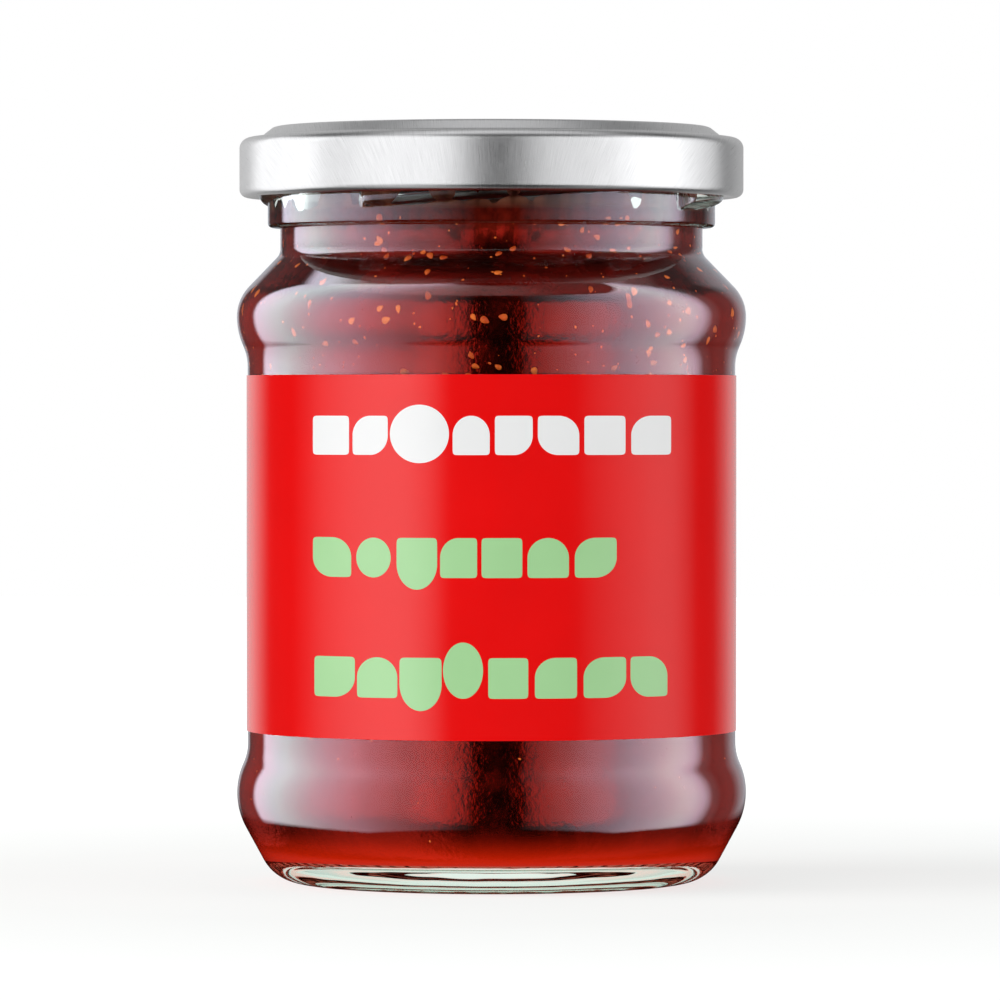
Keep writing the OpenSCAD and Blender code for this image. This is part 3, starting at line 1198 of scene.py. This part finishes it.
@dataclass
class Lid:
    """The twist-off lid, pressed from one sheet, with four lugs in its rolled foot."""

    foot: float
    top: float
    skirt_r: float
    rim_r: float
    bore_r: float
    tin: BrushedTin = field(default_factory=BrushedTin)
    sheet: float = 0.25
    curl_r: float = 1.1
    crown_round: float = 1.5
    ring_rise: float = 1.5
    panel_drop: float = 1.2
    button_r: float = 12.5
    button_drop: float = 0.5
    ring_bevel: float = 1.9
    ring_lap: float = 1.1
    step_w: float = 1.0
    segments: int = 384
    lugs: int = 4
    lug_arc: float = 10.0
    lug_end: float = 52.0
    lug_top: float = 96.08
    lug_t: float = 0.4
    lug_in: float = 31.75
    lug_stroke: float = 1.3
    bend: float = 0.45
    curl_turn: float = 235.0
    curl_rows: int = 26

    def upper(self, inset: float) -> np.ndarray:
        """The upper face from the middle out to the skirt.

        Args:
            inset: How far it is moved down and in, in millimetres.

        Returns:
            Array of radius and height.
        """
        panel = self.top - self.panel_drop
        ring_in = self.bore_r + self.sheet
        ring_out = self.rim_r + self.ring_lap
        step = self.top - self.ring_rise
        corners = np.array(
            (
                (0.0, panel - self.button_drop - inset),
                (self.button_r - self.step_w, panel - self.button_drop - inset),
                (self.button_r, panel - inset),
                (ring_in - self.step_w - inset, panel - inset),
                (ring_in - inset, self.top - inset),
                (ring_out - self.ring_bevel - inset / 2, self.top - inset),
                (ring_out - inset, step - inset),
                (self.skirt_r - self.crown_round, step - inset),
            )
        )
        flat = line((0.0, corners[0, 1]), (self.button_r - self.step_w - 0.7, corners[0, 1]), 8)
        crown_x = self.skirt_r - self.crown_round
        crown = arc(crown_x, step - self.crown_round, self.crown_round - inset, 90, 0, 12)
        curve = soften(corners, self.bend)
        curve = curve[curve[:, 0] > flat[-1, 0] + 0.1]
        return join(flat, curve, crown)

    def points(self) -> tuple[np.ndarray, np.ndarray]:
        """The grid of the lid and its place on the flat sheet.

        The flat place is the length along the profile from the lid's middle, laid
        out in the direction of the azimuth. Past the end of the rolled foot the length
        runs back, so both faces of the tin have the same strokes.

        Returns:
            Array (profile, azimuth, 3), and array (profile, azimuth, 2).
        """
        x = self.skirt_r - self.curl_r
        z = self.foot + self.curl_r
        up = self.upper(0.0)
        down = self.upper(self.sheet)
        skirt = line(up[-1], (self.skirt_r, z), 12)
        inner = line((self.skirt_r - self.sheet, z), down[-1], 8)
        profile = join(
            up,
            skirt,
            arc(x, z, self.curl_r, 0, -self.curl_turn, self.curl_rows),
            arc(x, z, self.curl_r - self.sheet, -self.curl_turn, 0, 22),
            inner,
            down[::-1],
        )
        a = np.linspace(-180, 180, self.segments, endpoint=False)[None, :]
        rho = np.concatenate(([0.0], np.cumsum(np.linalg.norm(np.diff(profile, axis=0), axis=1))))[:, None]
        fold = len(join(up, skirt)) + self.curl_rows - 2
        rho = np.where(np.arange(len(rho))[:, None] > fold, 2 * rho[fold] - rho, rho)
        flat = np.stack((rho * np.sin(np.radians(a)), rho * np.cos(np.radians(a))), axis=-1)
        return turned(profile[:, :1], a, profile[:, 1:]), flat

    def lug_skin(self) -> Skin:
        """The four lugs: a rounded bar, carried along an arc and closed at both ends.

        The bar's section is a superellipse of power 5, which shrinks to a point over
        the first and last twelfth of the arc.

        Returns:
            One skin that holds every lug.
        """
        w = np.linspace(0, 2 * np.pi, 24, endpoint=False)[None, :]
        s = np.linspace(0, 1, 17)[:, None]
        shrink = np.clip(np.minimum(s, 1 - s) * 12, 0, 1)
        grow = np.sqrt(1 - (1 - shrink) ** 2)
        edge = (np.abs(np.cos(w)) ** 5 + np.abs(np.sin(w)) ** 5) ** -0.2
        outer = self.skirt_r - self.curl_r * 1.5
        mid_r = (self.lug_in + outer) / 2
        mid_z = self.lug_top - self.lug_t / 2
        narrow = (0.75 + 0.25 * grow) * np.where(shrink > 0, 1, 0)
        r = mid_r + (outer - self.lug_in) / 2 * edge * np.cos(w) * narrow
        z = mid_z + self.lug_t / 2 * edge * np.sin(w) * grow
        ends = self.lug_end - self.lug_arc + s * self.lug_arc
        a = ends[None] + np.arange(self.lugs)[:, None, None] * 360.0 / self.lugs
        return Skin.of_copies(turned(r[None], a, z[None])).flipped()

    def build(self) -> list[bpy.types.Object]:
        """Makes the lid and its lugs and puts them in the CAD lid's place.

        Returns:
            The lid and its lugs.
        """
        points, flat = self.points()
        finish = self.tin.material()
        skin = Skin.of_grid(points, wraps=True, poles=True, flat=flat)
        lid = skin.flipped().build("lid_shell", finish)
        lugs = self.lug_skin()
        lugs.flat = lugs.verts[:, :2] * self.lug_stroke
        lug_piece = lugs.build("lid_lugs", finish)
        for piece in (lid, lug_piece):
            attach(piece, "root")
        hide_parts("lid")
        return [lid, lug_piece]


# ---------------------------------------------------------------- studio


class Lit(Enum):
    """The pieces that a lamp lights."""

    TIN = ("lid_shell", "lid_lugs")
    GEL = ("jam_body", "jam_seeds")
    TIN_AND_GEL = ("lid_shell", "lid_lugs", "jam_body", "jam_seeds")
    PAPER = ("label_paper", "print_white", "print_green")
    TABLE = ("table",)


@dataclass(frozen=True)
class Softbox:
    """A flat lamp that fills a span of azimuths between two heights, for some pieces only."""

    name: str
    span: tuple
    heights: tuple
    radiance: float
    lit: Lit
    shiny: bool = True

    def hang(self, away: float, receivers: bpy.types.Collection) -> None:
        """Puts up the lamp, facing the jar's axis.

        Its width is twice the distance times the tangent of half the span, and its
        power is radiance times pi times its area.

        Args:
            away: Its distance from the axis, in millimetres.
            receivers: The pieces that it lights.
        """
        middle = (self.span[0] + self.span[1]) / 2
        half_span = np.radians((self.span[1] - self.span[0]) / 2)
        data = bpy.data.lights.new(self.name, "AREA")
        data.shape = "RECTANGLE"
        data.size = 2 * away * np.tan(half_span) * MM
        data.size_y = (self.heights[1] - self.heights[0]) * MM
        data.energy = self.radiance * np.pi * data.size * data.size_y
        lamp = bpy.data.objects.new(self.name, data)
        place = turned(np.array(away), np.array(middle), np.array(sum(self.heights) / 2))
        lamp.location = place * MM
        lamp.rotation_euler = (np.radians(90), 0.0, np.radians(middle))
        lamp.visible_camera = False
        lamp.visible_transmission = False
        lamp.visible_glossy = self.shiny
        lamp.light_linking.receiver_collection = receivers
        bpy.context.scene.collection.objects.link(lamp)


TALL = (-600.0, 850.0)
LOW = (-600.0, 900.0)
LAMPS = (
    Softbox("left_front", (-29.0, -10.0), TALL, 1.75, Lit.TIN_AND_GEL),
    Softbox("right_front", (15.0, 50.0), TALL, 1.4, Lit.TIN_AND_GEL),
    Softbox("left_side", (-136.0, -84.0), TALL, 1.9, Lit.TIN),
    Softbox("right_side", (52.0, 124.0), TALL, 1.25, Lit.TIN),
    Softbox("left_rim", (-128.0, -104.0), LOW, 1.3, Lit.GEL),
    Softbox("right_rim", (104.0, 128.0), LOW, 0.9, Lit.GEL),
    Softbox("wash", (-70.0, 70.0), (-300.0, 400.0), 0.75, Lit.PAPER, shiny=False),
    Softbox("key", (-100.0, -60.0), (250.0, 900.0), 7.0, Lit.TABLE),
)


@dataclass(frozen=True)
class Room:
    """The room's light as shares of its brightest, at stops in degrees.

    A turn is an azimuth, a rise is an elevation. Mirror reflections see the left and
    right softbox and the ceiling over them, light through glass sees the sweep between
    dark side cards, and all else is lit by the common room and what is overhead.
    """

    left_turn: tuple = (
        *((-180, 0.10), (-166, 0.10), (-162, 0.012), (-138, 0.012), (-134, 0.68), (-124, 0.86)),
        *((-113, 0.98), (-100, 0.90), (-85, 0.74), (-70, 0.56), (-57, 0.35), (-42, 0.20)),
        *((-28, 0.12), (-19, 0.05), (-12, 0.02), (-8, 0.0)),
    )
    right_turn: tuple = (
        *((14, 0.0), (17, 0.018), (26, 0.06), (36, 0.14), (48, 0.31), (60, 0.47), (72, 0.66)),
        *((86, 0.82), (97, 0.92), (104, 0.85), (111, 0.62), (119, 0.06), (128, 0.015)),
        *((142, 0.015), (154, 0.08), (180, 0.10)),
    )
    common_turn: tuple = (
        *((-180, 0.30), (-150, 0.42), (-140, 0.30), (-128, 0.03), (-106, 0.03), (-96, 0.16)),
        *((-84, 0.48), (-70, 0.78), (-56, 0.96), (-40, 0.98), (-30, 0.62), (-20, 0.0)),
        *((40, 0.0), (50, 0.18), (64, 0.38), (82, 0.58), (94, 0.50), (104, 0.22), (112, 0.03)),
        *((128, 0.03), (140, 0.20), (150, 0.32), (180, 0.30)),
    )
    through_turn: tuple = (
        *((-180, 1.0), (-135, 1.0), (-120, 0.05), (-50, 0.05)),
        *((50, 0.05), (120, 0.05), (135, 1.0), (180, 1.0)),
    )
    left_top: tuple = ((76, 1.0), (81, 0.0))
    left_rise: tuple = ((-90, 0.0), (-43, 0.0), (-39, 0.7), (0, 1.0))
    right_rise: tuple = ((-90, 0.0), (-43, 0.0), (-39, 0.8), (0, 1.0), (46, 1.0), (49, 0.0))
    over_rise: tuple = ((-90, 0.0), (46, 0.0), (49, 0.085), (74, 0.10), (80, 0.0))
    over_turn: tuple = ((-180, 0.3), (-150, 1.0), (5, 1.0), (45, 0.3))
    common_rise: tuple = ((-90, 0.45), (-30, 0.5), (-15, 1.0), (38, 1.0), (52, 0.4))
    overhead_rise: tuple = ((56, 0.0), (68, 1.0))
    bend_from: float = 71.0
    foot_bend: float = -0.75
    brightest: float = 8.7
    common: float = 2.0
    overhead: float = 0.8

    @staticmethod
    def band(n: Nodes, value: bpy.types.NodeSocket, stops: tuple, span: float) -> bpy.types.NodeSocket:
        """A ramp whose stops are given in degrees, from -span/2 to span/2."""
        return n.ramp(value, [(deg / span + 0.5, level) for deg, level in stops])

    @staticmethod
    def tinted(shares: tuple) -> tuple:
        """Stops with the softboxes' colour, a little purple where they are half as bright."""
        return tuple((deg, (v * 0.92, v * (1 - 0.7 * v * (1 - v)), v * 1.04)) for deg, v in shares)

    def mirrored(
        self, n: Nodes, azimuth: bpy.types.NodeSocket, elevation: bpy.types.NodeSocket
    ) -> bpy.types.NodeSocket:
        """What mirror reflections see.

        Each softbox is its share round the jar times its share up the jar. Past
        bend_from degrees to a side, the left one's top falls by half a degree a degree,
        and the foot of both rises by three eighths of a degree a degree.

        Args:
            n: The writer of the world's tree.
            azimuth: Azimuth as a share of a turn, 0.5 at the front.
            elevation: Elevation as a share of half a turn, 0.5 at the level.

        Returns:
            The light's colour.
        """
        side = n.math("ABSOLUTE", n.math("SUBTRACT", azimuth, 0.5))
        past = n.math("MAXIMUM", n.math("SUBTRACT", side, self.bend_from / FULL_TURN), 0.0)
        bent = n.math("ADD", past, elevation)
        rising = n.math("MULTIPLY_ADD", past, self.foot_bend, elevation)
        left = self.band(n, azimuth, self.tinted(self.left_turn), FULL_TURN)
        left = n.scaled(left, self.band(n, bent, self.left_top, HALF_TURN))
        left = n.scaled(left, self.band(n, rising, self.left_rise, HALF_TURN))
        right = self.band(n, azimuth, self.tinted(self.right_turn), FULL_TURN)
        right = n.scaled(right, self.band(n, rising, self.right_rise, HALF_TURN))
        over = self.band(n, elevation, self.over_rise, HALF_TURN)
        over = n.scaled(over, self.band(n, azimuth, self.over_turn, FULL_TURN))
        return n.scaled(n.added(n.added(left, right), over), self.brightest)

    def spread(
        self, n: Nodes, azimuth: bpy.types.NodeSocket, elevation: bpy.types.NodeSocket
    ) -> bpy.types.NodeSocket:
        """The softer room that lights paper, metal and jam.

        Args:
            n: The writer of the world's tree.
            azimuth: Azimuth as a share of a turn, 0.5 at the front.
            elevation: Elevation as a share of half a turn, 0.5 at the level.

        Returns:
            The light's brightness.
        """
        turn = self.band(n, azimuth, self.common_turn, FULL_TURN)
        rise = self.band(n, elevation, self.common_rise, HALF_TURN)
        top = self.band(n, elevation, self.overhead_rise, HALF_TURN)
        room = n.math("MULTIPLY", n.math("MULTIPLY", turn, rise), self.common)
        return n.math("ADD", room, n.math("MULTIPLY", top, self.overhead))

    def build(self) -> None:
        """Makes the world: white to the camera, and to other rays what the room says."""
        world = bpy.data.worlds.new("studio")
        world.use_nodes = True
        bpy.context.scene.world = world
        n = Nodes(world.node_tree)
        axes = n.add("SeparateXYZ", {0: n.add("TexCoord").outputs["Generated"]}).outputs
        turn = n.math("ARCTAN2", axes["X"], n.math("MULTIPLY", axes["Y"], -1.0))
        azimuth = n.math("MULTIPLY_ADD", turn, 0.5 / np.pi, 0.5)
        rise = n.math("ARCSINE", n.math("MINIMUM", n.math("MAXIMUM", axes["Z"], -1.0), 1.0))
        elevation = n.math("MULTIPLY_ADD", rise, 1.0 / np.pi, 0.5)
        path = n.add("LightPath").outputs
        is_mirror = n.math("MULTIPLY", path["Is Singular Ray"], path["Is Reflection Ray"])
        through = self.band(n, azimuth, self.through_turn, FULL_TURN)
        light = n.mix(is_mirror, self.spread(n, azimuth, elevation), self.mirrored(n, azimuth, elevation))
        light = n.mix(path["Is Transmission Ray"], light, through)
        light = n.mix(path["Is Camera Ray"], light, WHITE)
        back = n.add("Background", {"Color": light, "Strength": 1.0})
        n.add("OutputWorld", {"Surface": back.outputs[0]})


@dataclass
class Studio:
    """A white table and sweep, with two tall softboxes and a dark gap behind the camera."""

    distance: float = 1000.0
    camera_h: float = 66.2
    lens: float = 257.8
    across: float = 1.19
    pitch: float = 0.739
    floor_side: float = 3000.0
    floor_z: float = -0.02
    paint: tuple = (0.232, 0.237, 0.232, 1.0)
    near_glow: tuple = (0.73, 0.74, 0.735, 1.0)
    glow_span: tuple = (0.08, 0.40)
    floor_shine: tuple = (0.96, 0.96, 0.955, 1.0)
    # painted reflection of the red jam in the table under the foot
    painted_jam_reflection: tuple = (0.30, 0.040, 0.020, 1.0)
    ring_scale: float = 10.0
    ring_stops: tuple = ((0.275, 0.0), (0.285, 1.0), (0.305, 1.0), (0.315, 0.0))
    lamp_r: float = 1000.0
    lamps: tuple[Softbox, ...] = LAMPS
    room: Room = Room()

    def camera(self) -> None:
        """A long lens at the front, a little above half the jar's height."""
        data = bpy.data.cameras.new("camera")
        data.lens = self.lens
        data.sensor_width = 36.0
        data.clip_start = 0.05
        data.clip_end = 20.0
        camera = bpy.data.objects.new("camera", data)
        camera.location = (self.across * MM, -self.distance * MM, self.camera_h * MM)
        camera.rotation_euler = (np.radians(90.0 - self.pitch), 0.0, 0.0)
        bpy.context.scene.collection.objects.link(camera)
        bpy.context.scene.camera = camera

    def floor(self) -> bpy.types.Object:
        """The table.

        The camera sees white paint with an added light that grows to full white away from the
        jar. Other rays see an even light, with a painted reflection of the red jam in a ring under the jar's
        foot.

        Returns:
            The table's object.
        """
        side = np.linspace(-self.floor_side / 2, self.floor_side / 2, 9)
        x, y = np.meshgrid(side, side)
        grid = np.stack((x, y, np.full_like(x, self.floor_z)), axis=-1)
        material, n = new_material("white_table")
        away = n.add("VectorMath", {0: n.place()}, operation="LENGTH").outputs["Value"]
        paint = n.add("BsdfDiffuse", {"Color": self.paint})
        sweep = n.add("Emission", {"Color": n.mix(n.between(away, *self.glow_span), self.near_glow, WHITE)})
        seen = n.add("AddShader", {0: paint.outputs[0], 1: sweep.outputs[0]})
        # painted reflection: a red ring under the jar's foot stands in for the jam seen in the table through
        # the glass base
        ring = n.ramp(n.math("MULTIPLY", away, self.ring_scale), self.ring_stops)
        shine = n.add("Emission", {"Color": n.mix(ring, self.floor_shine, self.painted_jam_reflection)})
        other = n.math("SUBTRACT", 1.0, n.add("LightPath").outputs["Is Camera Ray"])
        both = n.add("MixShader", {0: other, 1: seen.outputs[0], 2: shine.outputs[0]})
        n.add("OutputMaterial", {"Surface": both.outputs[0]})
        floor = Skin.of_grid(grid, wraps=False, poles=False).build("table", material)
        floor.visible_glossy = False
        return floor

    def hang_lamps(self, pieces: list[bpy.types.Object]) -> None:
        """Puts up every lamp and links it to the pieces that it lights.

        Args:
            pieces: The jar's pieces and the table.
        """
        groups = {lit: bpy.data.collections.new(lit.name.lower()) for lit in Lit}
        for lit, group in groups.items():
            for piece in pieces:
                if piece.name in lit.value:
                    group.objects.link(piece)
        for lamp in self.lamps:
            lamp.hang(self.lamp_r, groups[lamp.lit])

    def build(self, pieces: list[bpy.types.Object]) -> None:
        """Sets up camera, table and light around the finished pieces.

        Args:
            pieces: The jar's pieces.
        """
        scene = bpy.context.scene
        scene.view_settings.view_transform = "Standard"
        scene.cycles.max_bounces = 24
        scene.cycles.glossy_bounces = 16
        scene.cycles.transmission_bounces = 24
        self.camera()
        table = self.floor()
        self.room.build()
        self.hang_lamps([*pieces, table])


def millimetres(node: str) -> tuple[np.ndarray, np.ndarray]:
    """The box of a CAD node.

    Args:
        node: The node's name.

    Returns:
        Its lowest and its highest corner, in millimetres.
    """
    low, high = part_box(node)
    return np.array(low) / MM, np.array(high) / MM


def main() -> None:
    """Builds the jar from the glass outwards, then the studio, and reports each piece."""
    logging.basicConfig(level=logging.INFO, format="%(name)s: %(message)s")
    jar_low, jar_high = millimetres("jar")
    jam_low, jam_high = millimetres("jam")
    label_low, label_high = millimetres("label")
    lid_low, lid_high = millimetres("lid")
    outline = JarLine(height=jar_high[2], bulge_r=jar_high[0])
    parts = (
        GlassJar(outline),
        Jam(outline, level=jam_high[2] - JAM_CLIMB),
        Label(inner_r=label_high[0] - Label.paper, low=label_low[2], high=label_high[2]),
        Lid(
            foot=lid_low[2],
            top=lid_high[2],
            skirt_r=lid_high[0],
            rim_r=outline.finish_r,
            bore_r=outline.bore_r,
        ),
    )
    pieces = [piece for part in parts for piece in part.build()]
    for piece in pieces:
        piece.data.calc_loop_triangles()
        LOG.info("%s: %d triangles", piece.name, len(piece.data.loop_triangles))
    Studio().build(pieces)
    LOG.info("sizes written")


if __name__ == "__main__":
    main()
